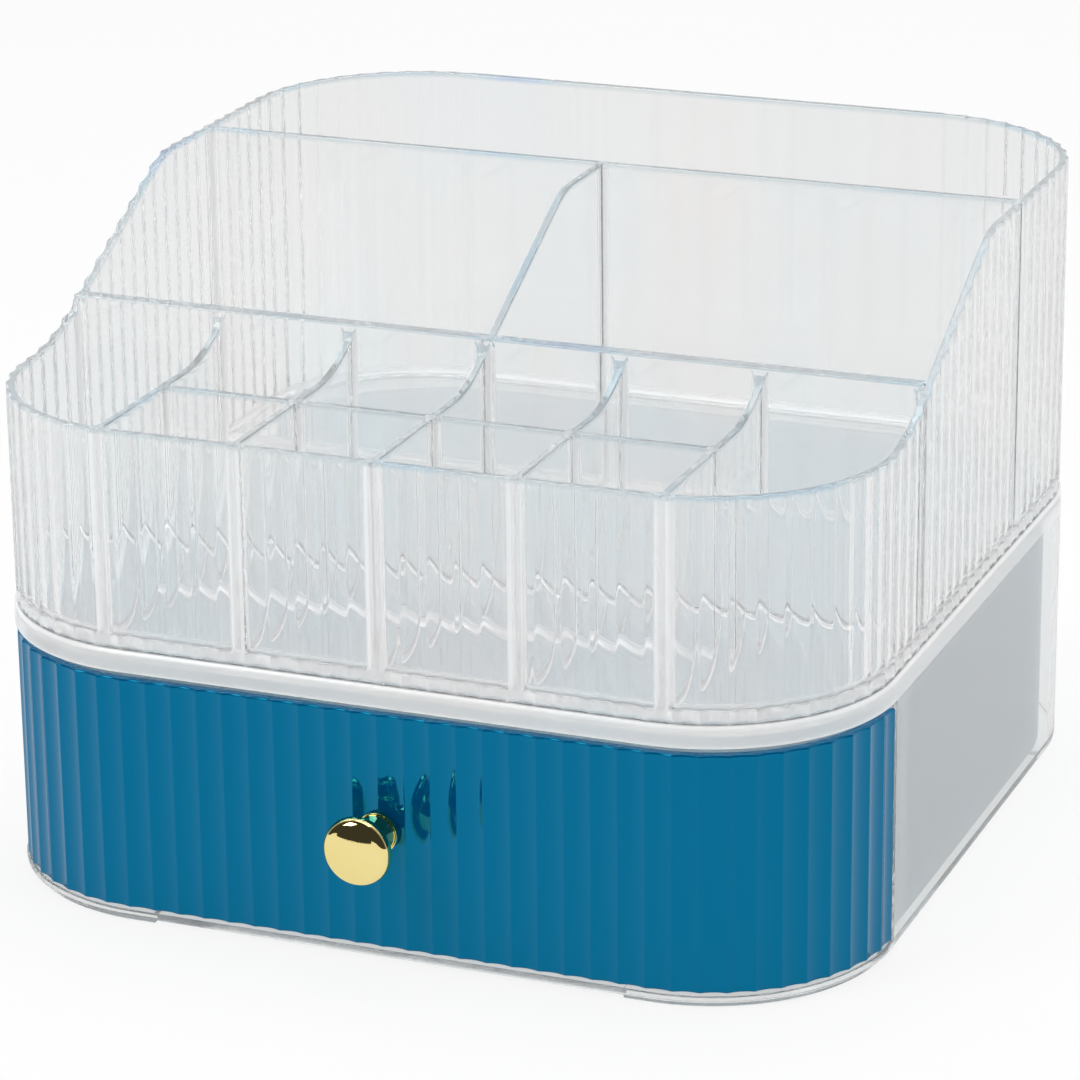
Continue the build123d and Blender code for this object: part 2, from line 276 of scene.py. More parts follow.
def fluted_loop(inset, pitch, steps, runs):
    """Stations and flute phases round the cabinet's plan, drawn in by inset.

    The corners and the straight runs named in runs carry flutes. Run 0 is the front, then
    counter-clockwise. A phase goes from 0 to 1 across each flute and is 0 on plain runs."""
    radius = CORNER_RADIUS - inset
    arcs = rectangle_arcs(
        -HALF_WIDTH + inset, HALF_WIDTH - inset, FRONT_Y + inset, REAR_Y - inset, (radius,) * 4
    )
    stations = []
    phases = []
    shares = flute_shares(steps)
    corner_flutes = round(radius * math.pi / 2 / pitch)
    for i, (centre, _, start, end) in enumerate(arcs):
        for k in range(corner_flutes):
            outs = [bearing(start + (end - start) * (k + share) / corner_flutes) for share in shares]
            stations += [(centre + out * radius, out) for out in outs]
            phases += shares
        out = bearing(end)
        first = centre + out * radius
        last = arcs[(i + 1) % 4][0] + out * radius
        if i in runs:
            count = round((last - first).length / pitch)
            for k in range(count):
                stations += [(first.lerp(last, (k + share) / count), out) for share in shares]
                phases += shares
        else:
            count = math.ceil((last - first).length / RUN_STEP)
            stations += run_stations(first, last, out, count)
            phases += [0.0] * count
    return stations, phases


def add_object(name, bm):
    """A new object from a finished bmesh, which is freed."""
    mesh = bpy.data.meshes.new(name)
    bm.to_mesh(mesh)
    bm.free()
    thing = bpy.data.objects.new(name, mesh)
    bpy.context.scene.collection.objects.link(thing)
    return thing


class Skin:
    """A mesh grown from rings of points, with the faces between them."""

    def __init__(self):
        self.bm = bmesh.new()
        self.phase = self.bm.verts.layers.float.new("flute_phase")
        self.out = self.bm.verts.layers.float_vector.new("flute_out")
        # The milky share is haze, and on edges, fillets, ridges and bands it is painted light
        self.milky = self.bm.verts.layers.float.new("milky")
        self.edge = self.bm.verts.layers.float.new("edge_tone")

    def ring(self, stations, grow, height, phases=None, milky=0.0, edge=0.0):
        """A ring of points, moved out by grow, at a height or at height(place). Milky says how
        hazy the plastic is there, as one share or as one for each station; on edges, fillets,
        ridges and bands that haze is painted light. Edge says how far its colour turns to greys
        and blues."""
        ring = []
        for i, (place, out) in enumerate(stations):
            z = height(place) if callable(height) else height
            moved = place + out * grow
            vertex = self.bm.verts.new((moved.x, moved.y, z))
            vertex[self.milky] = milky[i] if isinstance(milky, list) else milky
            vertex[self.edge] = edge
            if phases:
                vertex[self.phase] = phases[i]
                vertex[self.out] = (out.x, out.y, 0.0)
            ring.append(vertex)
        return ring

    def rounded(self, stations, pairs, grow, height, *marks):
        """Rings along a rounded edge, at (out, rise) pairs from its own grow and height."""
        rings = []
        for out, rise in pairs:
            level = (lambda place: height(place) + rise) if callable(height) else height + rise
            rings.append(self.ring(stations, grow + out, level, *marks))
        return rings

    def outline(self, places):
        """A ring of points given as they are."""
        return [self.bm.verts.new(place) for place in places]

    def band(self, rings, closed=True):
        """Faces between each ring and the next one."""
        for lower, upper in zip(rings, rings[1:]):
            count = len(lower) if closed else len(lower) - 1
            for i in range(count):
                self.strip(lower, upper, i, (i + 1) % len(lower))

    def strip(self, lower, upper, i, k):
        """One face between two rings, from station i to station k."""
        self.bm.faces.new((lower[i], lower[k], upper[k], upper[i]))

    def lid(self, ring, up=True):
        """One flat face over a ring."""
        self.bm.faces.new(ring if up else ring[::-1])

    def top(self, outer, holes):
        """Faces between an outer ring and the rings of the holes in it."""
        rings = [outer, *holes]
        points = [vertex for ring in rings for vertex in ring]
        owner = [i for i, ring in enumerate(rings) for _ in ring]
        edges = []
        start = 0
        for ring in rings:
            edges += [(start + i, start + (i + 1) % len(ring)) for i in range(len(ring))]
            start += len(ring)
        flat = [vertex.co.xy for vertex in points]
        made = geometry.delaunay_2d_cdt(flat, edges, [], 0, 1e-9)
        source = [ids[0] for ids in made[3]]
        border = [vertex.co.xy for vertex in outer]
        for face in made[2]:
            ids = [source[i] for i in face]
            owners = {owner[i] for i in ids}
            if len(owners) == 1:
                if owners != {0}:
                    continue
                if not inside(sum((flat[i] for i in ids), Vector((0, 0))) / 3, border):
                    continue
            self.bm.faces.new([points[i] for i in ids])

    def object(self, name, turn_out=False):
        """The finished mesh as an object, with its faces turned outward where asked."""
        if turn_out:
            bmesh.ops.recalc_face_normals(self.bm, faces=self.bm.faces)
        self.bm.normal_update()
        return add_object(name, self.bm)


def fillet_shares(stations, share):
    """The share for stations on tight bends and 0 for all others."""
    turns = [a[1].angle(b[1]) for a, b in zip(stations, stations[1:] + stations[:1])]
    tight = math.radians(8)
    return [share if min(turns[i], turns[i - 1]) > tight else 0.0 for i in range(len(stations))]


def inside(point, border):
    """Whether a plan point lies inside a closed line."""
    crossings = 0
    for a, b in zip(border, border[1:] + border[:1]):
        if (a.y > point.y) != (b.y > point.y):
            if point.x < a.x + (point.y - a.y) / (b.y - a.y) * (b.x - a.x):
                crossings += 1
    return crossings % 2 == 1


def rounding(radius, out, rise, steps=4):
    """(out, rise) pairs along a rounded edge, from its side to its flat. They are measured from
    where the side and the flat would meet. Out and rise are 1 or -1 and say which way they go."""
    pairs = []
    for i in range(steps + 1):
        angle = math.pi / 2 * i / steps
        pairs.append((out * radius * (1 - math.cos(angle)), rise * radius * (1 - math.sin(angle))))
    return pairs


# Finishing of a piece


def settle(thing):
    """Turns the object's modifiers into plain mesh and removes them."""
    graph = bpy.context.evaluated_depsgraph_get()
    mesh = bpy.data.meshes.new_from_object(thing.evaluated_get(graph), depsgraph=graph)
    thing.modifiers.clear()
    old = thing.data
    mesh.name = thing.name
    thing.data = mesh
    bpy.data.meshes.remove(old)
    return thing


def combine(thing, other, operation):
    """Joins another closed object to a closed one, or cuts it away."""
    modifier = thing.modifiers.new("Combine", "BOOLEAN")
    modifier.operation = operation
    modifier.solver = "MANIFOLD"
    modifier.object = other
    settle(thing)
    bpy.data.objects.remove(other, do_unlink=True)


def shade(thing, angle=34):
    """Smooth faces with sharp creases, and flat faces kept flat."""
    bm = bmesh.new()
    bm.from_mesh(thing.data)
    for face in bm.faces:
        face.smooth = True
    for edge in bm.edges:
        edge.smooth = len(edge.link_faces) == 2 and edge.calc_face_angle(0) < math.radians(angle)
    bm.to_mesh(thing.data)
    bm.free()
    weighted = thing.modifiers.new("Weighted normals", "WEIGHTED_NORMAL")
    weighted.keep_sharp = True
    settle(thing)


def hand_over(thing, body, material, nodes):
    """Gives the piece its material and its body, and hides the nodes that it stands for."""
    thing.data.materials.clear()
    thing.data.materials.append(material)
    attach(thing, body)
    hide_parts(*nodes)


def fill(tree, node, inputs):
    """Sets a node's inputs by name or number, from numbers or from other nodes' sockets."""
    for key, value in inputs.items():
        if isinstance(value, bpy.types.NodeSocket):
            tree.links.new(value, node.inputs[key])
        else:
            node.inputs[key].default_value = value
    return node


def add_node(tree, kind, inputs=None, **values):
    """A new node with its own settings and inputs."""
    node = tree.nodes.new(kind)
    for name, value in values.items():
        setattr(node, name, value)
    return fill(tree, node, inputs or {})


def flute_tree():
    """Geometry Nodes tree that shapes a wall's marked points into hollow flutes with soft ridges."""
    tree = bpy.data.node_groups.new("Upright flutes", "GeometryNodeTree")
    face = tree.interface
    face.new_socket("Geometry", in_out="INPUT", socket_type="NodeSocketGeometry")
    for name in ("Flute Pitch", "Flute Depth", "Ridge Softness"):
        face.new_socket(name, in_out="INPUT", socket_type="NodeSocketFloat")
    face.new_socket("Material", in_out="INPUT", socket_type="NodeSocketMaterial")
    face.new_socket("Geometry", in_out="OUTPUT", socket_type="NodeSocketGeometry")
    given = add_node(tree, "NodeGroupInput").outputs

    def maths(operation, first, second=0.0):
        return add_node(tree, "ShaderNodeMath", {0: first, 1: second}, operation=operation).outputs[0]

    def squared(value):
        return maths("MULTIPLY", value, value)

    def attribute(name, kind):
        node = add_node(tree, "GeometryNodeInputNamedAttribute", {"Name": name}, data_type=kind)
        return node.outputs["Attribute"]

    def softened(distance):
        """The distance from a ridge, made smooth at the ridge itself."""
        root = maths("SQRT", maths("ADD", squared(distance), squared(softness)))
        return maths("SUBTRACT", root, softness)

    pitch = given["Flute Pitch"]
    depth = given["Flute Depth"]
    softness = given["Ridge Softness"]
    half = maths("MULTIPLY", pitch, 0.5)
    radius = maths("DIVIDE", maths("ADD", squared(half), squared(depth)), maths("MULTIPLY", depth, 2.0))
    across = maths("MULTIPLY", maths("SUBTRACT", attribute("flute_phase", "FLOAT"), 0.5), pitch)
    from_ridge = maths("SUBTRACT", half, maths("ABSOLUTE", across))
    soft_share = maths("DIVIDE", softened(from_ridge), softened(half))
    place_across = maths("SUBTRACT", half, maths("MULTIPLY", soft_share, half))
    room = maths("SUBTRACT", squared(radius), squared(place_across))
    height = maths("SUBTRACT", radius, maths("SQRT", room))
    out = attribute("flute_out", "FLOAT_VECTOR")
    scale = add_node(tree, "ShaderNodeVectorMath", {0: out, "Scale": height}, operation="SCALE")
    inputs = {"Geometry": given["Geometry"], "Offset": scale.outputs[0]}
    place = add_node(tree, "GeometryNodeSetPosition", inputs)
    realize = add_node(tree, "GeometryNodeRealizeInstances", {"Geometry": place.outputs[0]})
    inputs = {"Geometry": realize.outputs[0], "Material": given["Material"]}
    finish = add_node(tree, "GeometryNodeSetMaterial", inputs)
    add_node(tree, "NodeGroupOutput", {"Geometry": finish.outputs[0]})
    return tree


def add_flutes(thing, depth, softness, material):
    """Shapes the flutes on a piece's marked wall."""
    flutes = bpy.context.scene.organizer_flutes
    tree = bpy.data.node_groups.get("Upright flutes") or flute_tree()
    modifier = thing.modifiers.new("Flutes", "NODES")
    modifier.node_group = tree
    names = {item.name: item.identifier for item in tree.interface.items_tree if item.in_out == "INPUT"}
    modifier[names["Flute Pitch"]] = flutes.pitch
    modifier[names["Flute Depth"]] = depth
    modifier[names["Ridge Softness"]] = softness
    modifier[names["Material"]] = material
    return settle(thing)


# Materials


class Finish:
    """A material with short ways to add its nodes."""

    def __init__(self, name):
        self.material = bpy.data.materials.new(name)
        self.material.use_nodes = True
        self.tree = self.material.node_tree
        self.shader = self.tree.nodes["Principled BSDF"]
        self.object_place = self.node("ShaderNodeTexCoord").outputs["Object"]

    def node(self, kind, inputs=None, **values):
        """A new node of this material."""
        return add_node(self.tree, kind, inputs, **values)

    def noise(self, scale, detail, stretch=(1, 1, 1)):
        """Noise in the object's own coordinates. Scale is in features per metre."""
        mapping = self.node("ShaderNodeMapping", {"Vector": self.object_place, "Scale": stretch})
        inputs = {"Vector": mapping.outputs[0], "Scale": scale, "Detail": detail}
        return self.node("ShaderNodeTexNoise", inputs).outputs["Fac"]

    def spread(self, source, low, high, start=0.3, end=0.7):
        """Maps a 0 to 1 pattern to a range of values."""
        inputs = {"Value": source, "From Min": start, "From Max": end, "To Min": low, "To Max": high}
        return self.node("ShaderNodeMapRange", inputs).outputs["Result"]

    def ramp(self, source, stops):
        """Maps a 0 to 1 pattern to colours, given as (place, colour) stops."""
        node = self.node("ShaderNodeValToRGB", {"Fac": source})
        elements = node.color_ramp.elements
        while len(elements) < len(stops):
            elements.new(0.5)
        for element, (place, value) in zip(elements, stops):
            element.position = place
            element.color = (*value, 1.0)
        return node.outputs["Color"]

    def bump(self, source, distance, under=None):
        """A bump of a given height in metres, on top of another one."""
        inputs = {"Height": source, "Distance": distance}
        if under:
            inputs["Normal"] = under
        return self.node("ShaderNodeBump", inputs).outputs["Normal"]

    def set(self, **values):
        """Sets or links the shader's own sockets, with _ for a blank in their names."""
        fill(self.tree, self.shader, {name.replace("_", " "): value for name, value in values.items()})

    def mix_in(self, share, other):
        """Shows another shader instead of the main one where share is 1."""
        mix = self.node("ShaderNodeMixShader", {0: share, 1: self.shader.outputs["BSDF"], 2: other})
        fill(self.tree, self.tree.nodes["Material Output"], {"Surface": mix.outputs["Shader"]})

    def let_lamps_through(self, tint, share):
        """Lamp light passes the clear plastic, so that it casts a pale shadow."""
        shadow = self.node("ShaderNodeLightPath").outputs["Is Shadow Ray"]
        clear = self.node("ShaderNodeBsdfTransparent", {"Color": (*(share * c for c in tint), 1.0)})
        self.mix_in(shadow, clear.outputs["BSDF"])


def shades(tint, changes):
    """Colours a little off the tint, as (place, colour) stops evenly spread."""
    last = len(changes) - 1
    return [
        (i / last, tuple(min(1.0, c * k) for c, k in zip(tint, change)))
        for i, change in enumerate(changes)
    ]


def clear_plastic(name, tint, clarity, wave, lamp_share):
    """Clear moulded plastic: faint flow waves, faint stress colours, a polish that varies. Where
    the mesh says so it is milky, which is partly haze and partly painted light, and its colour
    turns to greys and blues."""
    finish = Finish(name)
    # Milky marks lower the transmission so that the white base shows: haze, and painted light where put on
    # edges, fillets, ridges and bands
    haze_and_painted_light = finish.node("ShaderNodeAttribute", attribute_name="milky").outputs["Fac"]
    edge = finish.node("ShaderNodeAttribute", attribute_name="edge_tone").outputs["Fac"]
    stress = [(1.005, 0.988, 1.0), (0.98, 1.006, 1.002), (1.006, 1.0, 0.985), (0.988, 0.994, 1.003)]
    tints = finish.ramp(finish.noise(28, 2, (1, 1, 0.35)), shades(tint, stress))
    # Where the mesh marks a top edge, the colour turns to these greys and blues
    greys = [(0.3, (0.84, 0.88, 0.88)), (0.52, (0.76, 0.83, 0.86)), (0.62, (0.66, 0.82, 0.9))]
    tones = finish.ramp(finish.noise(24, 2), [*greys, (0.76, (0.52, 0.64, 0.92))])
    toned = finish.node("ShaderNodeMix", {0: edge, 6: tints, 7: tones}, data_type="RGBA")
    waves = finish.bump(finish.noise(70, 1.5, (1, 1, 0.4)), wave)
    finish.set(
        IOR=1.5,
        Transmission_Weight=finish.spread(haze_and_painted_light, clarity, 0.0, 0.0, 1.0),
        Base_Color=toned.outputs[2],
        Roughness=finish.spread(finish.noise(260, 3), 0.0, 0.035),
        Normal=finish.bump(finish.noise(900, 2), 0.0000004, waves),
    )
    finish.let_lamps_through(tint, lamp_share)
    return finish.material


def frosted_plastic(name, tint):
    """Milky plastic of the drawer box, with an even fine frost."""
    finish = Finish(name)
    cloud = [(0.85, 0.98, 1.02), (1.0, 0.96, 1.0), (1.12, 1.03, 1.0), (0.92, 1.04, 0.98)]
    finish.set(
        IOR=1.5,
        Transmission_Weight=0.8,
        Base_Color=finish.ramp(finish.noise(22, 3), shades(tint, cloud)),
        Roughness=finish.spread(finish.noise(900, 3), 0.28, 0.36),
        Normal=finish.bump(finish.noise(1600, 2), 0.000001),
    )
    finish.let_lamps_through(tint, 0.9)
    return finish.material


def blue_plastic(name, tint):
    """Opaque glossy blue plastic with a slight drift in colour and polish."""
    finish = Finish(name)
    drift = [(0.92, 0.96, 0.97), (1.0, 1.0, 1.0), (1.08, 1.05, 1.03)]
    flow = finish.bump(finish.noise(90, 2, (1, 1, 0.3)), 0.00002)
    finish.set(
        IOR=2.5,
        Specular_Tint=(0.02, 0.66, 1.0, 1.0),
        Base_Color=finish.ramp(finish.noise(16, 3), shades(tint, drift)),
        Roughness=finish.spread(finish.noise(420, 4), 0.04, 0.09),
        Normal=finish.bump(finish.noise(2400, 3), 0.000003, flow),
    )
    return finish.material


def polished_gold(name, tint):
    """Polished gold plate, with fine turning marks round the knob's axis."""
    finish = Finish(name)
    drift = [(0.97, 0.95, 0.9), (1.0, 1.0, 1.0), (1.03, 1.03, 1.1)]
    axis = (-KNOB_CENTRE.x, 0, -KNOB_CENTRE.z)
    place = finish.node("ShaderNodeMapping", {"Vector": finish.object_place, "Location": axis})
    inputs = {"Vector": place.outputs[0], "Scale": 900, "Distortion": 0.6}
    rings = finish.node("ShaderNodeTexWave", inputs, wave_type="RINGS", rings_direction="Y")
    finish.set(
        Metallic=1.0,
        Base_Color=finish.ramp(finish.noise(120, 3), shades(tint, drift)),
        Roughness=finish.spread(finish.noise(700, 4), 0.015, 0.04),
        Normal=finish.bump(rings.outputs["Fac"], 0.0000008),
    )
    return finish.material


def plated_steel(name, tint):
    """Zinc-plated steel with cloudy plating."""
    finish = Finish(name)
    cloud = [(0.85, 0.87, 0.9), (1.0, 1.0, 1.0), (1.08, 1.06, 1.0)]
    finish.set(
        Metallic=1.0,
        Base_Color=finish.ramp(finish.noise(300, 4), shades(tint, cloud)),
        Roughness=finish.spread(finish.noise(1500, 4), 0.2, 0.4),
        Normal=finish.bump(finish.noise(3000, 3), 0.000004),
    )
    return finish.material


# Tray


def top_line(foot_radius):
    """Height of the tray's top line as a function of the place: level, slope, level."""
    sizes = bpy.context.scene.organizer_tray
    angle = sizes.slope_angle
    start_y, start_z = MID_LOW.y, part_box("front_divider_3")[1].z
    foot_y = start_y - (start_z - LOW_Z) / math.tan(angle)
    shoulder_y = start_y + (HIGH_Z - start_z) / math.tan(angle)
    foot_run = foot_radius * math.tan(angle / 2)
    shoulder_run = sizes.shoulder * math.tan(angle / 2)

    def height(place):
        y = place.y
        if y < foot_y - foot_run:
            return LOW_Z
        if y < foot_y + foot_run * math.cos(angle):
            along = y - (foot_y - foot_run)
            return LOW_Z + foot_radius - math.sqrt(foot_radius**2 - along**2)
        if y < shoulder_y - shoulder_run * math.cos(angle):
            return LOW_Z + (y - foot_y) * math.tan(angle)
        if y < shoulder_y + shoulder_run:
            along = shoulder_y + shoulder_run - y
            return HIGH_Z - sizes.shoulder + math.sqrt(sizes.shoulder**2 - along**2)
        return HIGH_Z

    return height


def long_cell_arcs(side, junction):
    """Plan arcs of a long cell in a front corner, where the big corner arc meets a divider."""
    big_radius = CORNER_RADIUS - TRAY_INSET
    centre = Vector((side * (HALF_WIDTH - CORNER_RADIUS), FRONT_Y + CORNER_RADIUS))
    divider_low, divider_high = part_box("front_divider_5" if side > 0 else "front_divider_1")
    inner_x = divider_high.x if side > 0 else divider_low.x
    left, right = sorted((inner_x, side * (HALF_WIDTH - TRAY_INSET)))
    small_x = inner_x + side * junction
    reach = big_radius - junction
    small = Vector((small_x, centre.y - math.sqrt(reach**2 - (small_x - centre.x) ** 2)))
    turn = math.degrees(math.atan2(small.y - centre.y, small.x - centre.x)) % 360
    rear_y = MID_LOW.y - junction
    arcs = [(small, junction), (centre, big_radius)]
    first, second = arcs if side > 0 else arcs[::-1]
    return [
        (*first, 180, turn),
        (*second, turn, 360),
        (Vector((right - junction, rear_y)), junction, 0, 90),
        (Vector((left + junction, rear_y)), junction, 90, 180),
    ]


def tray_cells(junction):
    """Plan arcs of the tray's thirteen compartments."""
    half = HALF_WIDTH - TRAY_INSET
    front = FRONT_Y + TRAY_INSET
    rear = REAR_Y - TRAY_INSET
    cells = [long_cell_arcs(-1, junction), long_cell_arcs(1, junction)]
    for i in range(1, 5):
        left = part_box(f"front_divider_{i}")[1].x
        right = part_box(f"front_divider_{i + 1}")[0].x
        cells.append(rectangle_arcs(left, right, front, CROSS_LOW.y, (junction,) * 4))
        cells.append(rectangle_arcs(left, right, CROSS_HIGH.y, MID_LOW.y, (junction,) * 4))
    centre_low, centre_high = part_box("centre_divider")
    for left, right in ((-half, centre_low.x), (centre_high.x, half)):
        cells.append(rectangle_arcs(left, right, MID_HIGH.y, REAR_LOW.y, (junction,) * 4))
    big = CORNER_RADIUS - TRAY_INSET
    cells.append(rectangle_arcs(-half, half, REAR_HIGH.y, rear, (junction, junction, big, big)))
    return cells


def make_mid_plate():
    """The raised mid divider as a closed plate with a rounded top, to be joined to the tray."""
    sizes = bpy.context.scene.organizer_tray
    proud = 0.02 * MM
    sink = 0.5 * MM
    y0, y1 = MID_LOW.y - proud, MID_HIGH.y + proud
    plain_z = MID_HIGH.z - sizes.edge - HAZE_FADE
    profile = [(y0, FLOOR_LOW.z + sink), (y0, plain_z)]
    profile += [(y0 + out, MID_HIGH.z + rise) for out, rise in rounding(sizes.edge, 1, -1)]
    profile += [(y1 + out, MID_HIGH.z + rise) for out, rise in rounding(sizes.edge, -1, -1)[::-1]]
    profile += [(y1, plain_z), (y1, FLOOR_LOW.z + sink)]
    end = MID_HIGH.x + sink
    skin = Skin()
    left, right = (skin.outline((x, y, z) for y, z in profile) for x in (-end, end))
    # The rounded top gets the rim haze, which is painted light, and the greys and blues of the top edges
    for vertex in left[2:-2] + right[2:-2]:
        vertex[skin.milky] = sizes.rim_painted_light
        vertex[skin.edge] = 1.0
    skin.lid(left)
    skin.lid(right, up=False)
    skin.band([left, right])
    return skin.object("mid_plate", turn_out=True)


def painted_wall_highlights(stations, phases):
    """How milky the tray's wall is at each station: a painted highlight on its ridges and beside the front
    dividers.
    """
    sizes = bpy.context.scene.organizer_tray
    middle_share = 0.65
    dividers = [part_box(f"front_divider_{i}") for i in range(1, 6)]
    shares = []
    for i, (place, _) in enumerate(stations):
        share = sizes.ridge_painted_highlight if phases[i] == 0 and phases[i - 1] > 0 else 0.0
        for low, high in dividers if place.y < FRONT_Y + CORNER_RADIUS / 2 else []:
            if low.x - sizes.column < place.x < high.x + sizes.column:
                share = sizes.column_painted_highlight * (middle_share if low.x < place.x < high.x else 1.0)
        shares.append(share)
    return shares


def add_cell(skin, cell):
    """The inside of one compartment, with a flat floor. Gives back the ring at its top."""
    sizes = bpy.context.scene.organizer_tray
    wall_top = top_line(sizes.wall_foot)
    divider_top = top_line(sizes.divider_foot)
    side_band = 0.5 * MM
    half = HALF_WIDTH - TRAY_INSET - side_band
    tiny = 0.1 * MM
    flat_share = 0.2

    def top(place):
        if abs(place.x) > half:
            return wall_top(place)
        share = 1 - (MID_LOW.y - place.y) / sizes.junction
        if share < 0 or place.y > MID_LOW.y + tiny:
            return divider_top(place)
        rise = MID_HIGH.z - tiny - divider_top(place)
        return divider_top(place) + rise * min(1.0, share) ** 2

    # The upright fillets get a painted highlight from their haze
    haze_and_painted_light = fillet_shares(cell, sizes.fillet_painted_highlight)
    # The rim haze on each cell's top edge is painted light
    rings = skin.rounded(cell, rounding(sizes.edge, 1, -1)[::-1], 0, top, None, sizes.rim_painted_light, 1.0)
    rings.append(skin.ring(cell, 0, lambda place: top(place) - sizes.edge - HAZE_FADE, None, haze_and_painted_light))
    rings.append(skin.ring(cell, 0, FLOOR_HIGH.z + sizes.floor_fillet + HAZE_FADE, None, haze_and_painted_light))
    fillet = rounding(sizes.floor_fillet, -1, 1)
    # The fillets along the floor get the floor edge haze, which is partly painted light
    rings += skin.rounded(cell, fillet[:-1], 0, FLOOR_HIGH.z, None, sizes.floor_haze_and_light)
    rings += skin.rounded(cell, fillet[-1:], 0, FLOOR_HIGH.z, None, sizes.floor_haze_and_light * flat_share)
    skin.band(rings)
    skin.lid(rings[-1])
    return rings[0]


def make_tray():
    """The tray as one clear moulding."""
    sizes = bpy.context.scene.organizer_tray
    flutes = bpy.context.scene.organizer_flutes
    material = clear_plastic("clear_tray", sizes.tint, sizes.clarity, wave=0.0000015, lamp_share=0.97)
    wall_top = top_line(sizes.wall_foot)
    outer_inset = HALF_WIDTH - WALL_HIGH.x + flutes.tray_depth
    stations, phases = fluted_loop(outer_inset, flutes.pitch, flutes.steps, (0, 1, 3))
    # Painted highlights on the wall's ridges and beside the front dividers
    haze = painted_wall_highlights(stations, phases)
    skin = Skin()
    bottom = WALL_LOW.z + sizes.lift
    fade = 0.3 * MM
    foot = outer_inset - TRAY_INSET
    under = skin.ring(stations, foot, FLOOR_LOW.z)
    skin.lid(under, up=False)
    rings = [under, skin.ring(stations, foot, bottom)]
    rings += skin.rounded(stations, rounding(sizes.bottom_edge, -1, 1, 3)[::-1], 0, bottom, phases)
    # The bottom band gets the floor edge haze, partly painted light, and the wall above it gets the
    # painted highlights of the ridges and columns
    for height, share in (
        (bottom + sizes.bottom_edge + fade, sizes.floor_haze_and_light),
        (FLOOR_HIGH.z, sizes.floor_haze_and_light),
        (FLOOR_HIGH.z + HAZE_FADE, haze),
        (lambda place: wall_top(place) - sizes.edge - HAZE_FADE, haze),
    ):
        rings.append(skin.ring(stations, 0, height, phases, share))
    edge = rounding(sizes.edge, -1, -1)
    # The rim haze on the wall's top edge is painted light
    rings += skin.rounded(stations, edge, 0, wall_top, phases, sizes.rim_painted_light, 1.0)
    skin.band(rings)
    holes = [add_cell(skin, plan_loop(arcs)) for arcs in tray_cells(sizes.junction)]
    skin.top(rings[-1], holes)
    tray = add_flutes(skin.object("tray"), flutes.tray_depth, flutes.tray_ridge, material)
    combine(tray, make_mid_plate(), "UNION")
    shade(tray)
    hand_over(tray, "tray", material, TRAY_NODES)


# Cabinet


def make_foot(side_x, side_y):
    """A low rim under one corner, with its top sunk into the base plate."""
    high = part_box("foot_front_right")[1]
    reach = high.y - (FRONT_Y + CORNER_RADIUS)
    radius = CORNER_RADIUS - (HALF_WIDTH - high.x)
    width = 5.0 * MM
    sink = 0.6 * MM
    edge = 0.3 * MM
    top = BASE_LOW.z + sink
    centre_y = REAR_Y - CORNER_RADIUS if side_y > 0 else FRONT_Y + CORNER_RADIUS
    centre = Vector((side_x * (HALF_WIDTH - CORNER_RADIUS), centre_y))
    start = {(-1, -1): 180, (1, -1): 270, (1, 1): 0, (-1, 1): 90}[(side_x, side_y)]
    path = arc_stations(centre, radius, start, start + 90, 24)
    path += arc_stations(centre, radius, start + 90, start + 91, 1)
    for end, way in ((0, -reach), (-1, reach)):
        place, out = path[end]
        station = (place + Vector((-out.y, out.x)) * way, out)
        path.insert(0 if end == 0 else len(path), station)
    section = [(0, top), (-width, top), (-width, edge), (-width + edge, 0), (-edge, 0), (0, edge)]
    skin = Skin()
    rings = []
    for place, out in path:
        rings.append(skin.outline((*(place + out * grow), z) for grow, z in section))
    skin.band(rings)
    skin.lid(rings[0])
    skin.lid(rings[-1], up=False)
    return skin.object("foot", turn_out=True)


def cabinet_loop():
    """Stations round the cabinet, with one at each side wall's front edge, and what is open."""
    x = HALF_WIDTH - CORNER_RADIUS
    arcs = rectangle_arcs(-HALF_WIDTH, HALF_WIDTH, FRONT_Y, REAR_Y, (CORNER_RADIUS,) * 4)
    arcs.insert(2, (Vector((x, SIDE_LOW.y)), CORNER_RADIUS, 0, 0))
    arcs.append((Vector((-x, SIDE_LOW.y)), CORNER_RADIUS, 180, 180))
    stations = plan_loop(arcs, arc_step=2.4 * MM, run_step=6.0 * MM)
    tiny = 0.01 * MM
    is_open = [place.y < SIDE_LOW.y - tiny for place, _ in stations]
    return stations, is_open


